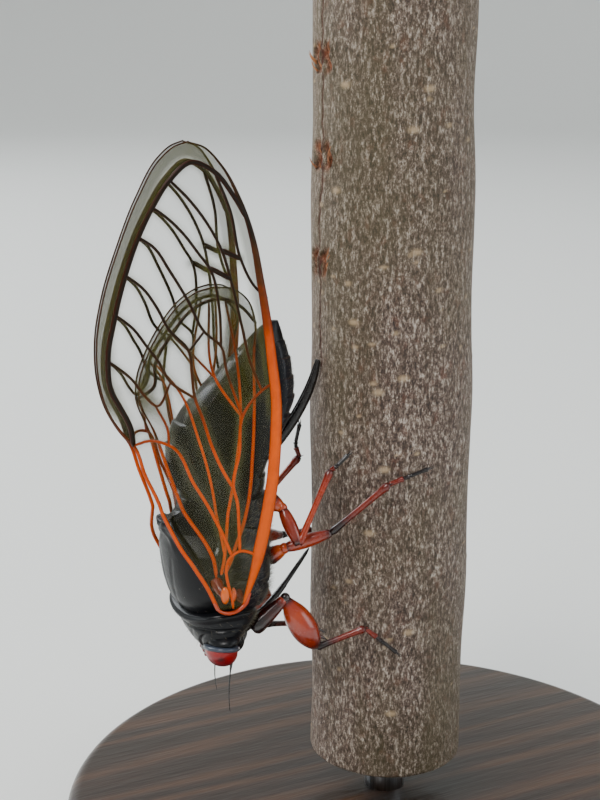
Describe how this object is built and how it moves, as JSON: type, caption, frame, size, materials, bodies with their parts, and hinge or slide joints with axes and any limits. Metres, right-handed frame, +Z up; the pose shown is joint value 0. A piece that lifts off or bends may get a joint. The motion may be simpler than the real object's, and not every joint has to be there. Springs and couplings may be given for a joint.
{
  "type": "periodical cicada model",
  "caption": "Life-size periodical cicada laying eggs, head down on a cut twig held upright by a small round display stand.",
  "frame": {"origin": "centre of the stand base's underside, on the twig's axis", "axes": "+Z up along the twig, the cicada clings to the -X side with its head towards -Z and its left side towards -Y"},
  "size_m": [0.048, 0.048, 0.065],
  "materials": {
    "cuticle_black": "satin black insect cuticle with fine pale hairs",
    "eye_red": "glossy red faceted eye",
    "leg_orange": "glossy orange brown cuticle",
    "leg_dark": "dark red brown to black cuticle",
    "wing_membrane": "clear amber membrane with raised orange and dark veins",
    "bark": "thin smooth brown bark with pale pores",
    "stand_wood": "dark stained turned hardwood, satin varnish",
    "rod_steel": "satin steel pin"
  },
  "bodies": {
    "root": {"abdomen": "cuticle_black", "antenna_left": "cuticle_black", "antenna_right": "cuticle_black", "eye_left": "eye_red", "eye_right": "eye_red", "forewing_left": "wing_membrane", "forewing_right": "wing_membrane", "head": "cuticle_black", "hindwing_left": "wing_membrane", "hindwing_right": "wing_membrane", "leg_front_coxa_left": "leg_orange", "leg_front_coxa_right": "leg_orange", "leg_front_femur_left": "leg_orange", "leg_front_femur_right": "leg_orange", "leg_front_tarsus_left": "leg_dark", "leg_front_tarsus_right": "leg_dark", "leg_front_tibia_left": "leg_dark", "leg_front_tibia_right": "leg_dark", "leg_hind_coxa_left": "leg_orange", "leg_hind_coxa_right": "leg_orange", "leg_hind_femur_left": "leg_orange", "leg_hind_femur_right": "leg_orange", "leg_hind_tarsus_left": "leg_dark", "leg_hind_tarsus_right": "leg_dark", "leg_hind_tibia_left": "leg_dark", "leg_hind_tibia_right": "leg_dark", "leg_mid_coxa_left": "leg_orange", "leg_mid_coxa_right": "leg_orange", "leg_mid_femur_left": "leg_orange", "leg_mid_femur_right": "leg_orange", "leg_mid_tarsus_left": "leg_dark", "leg_mid_tarsus_right": "leg_dark", "leg_mid_tibia_left": "leg_dark", "leg_mid_tibia_right": "leg_dark", "ovipositor": "cuticle_black", "perch_twig": "bark", "pronotum": "cuticle_black", "rostrum": "cuticle_black", "stand_base": "stand_wood", "stand_rod": "rod_steel", "thorax": "cuticle_black"}
  },
  "joints": []
}
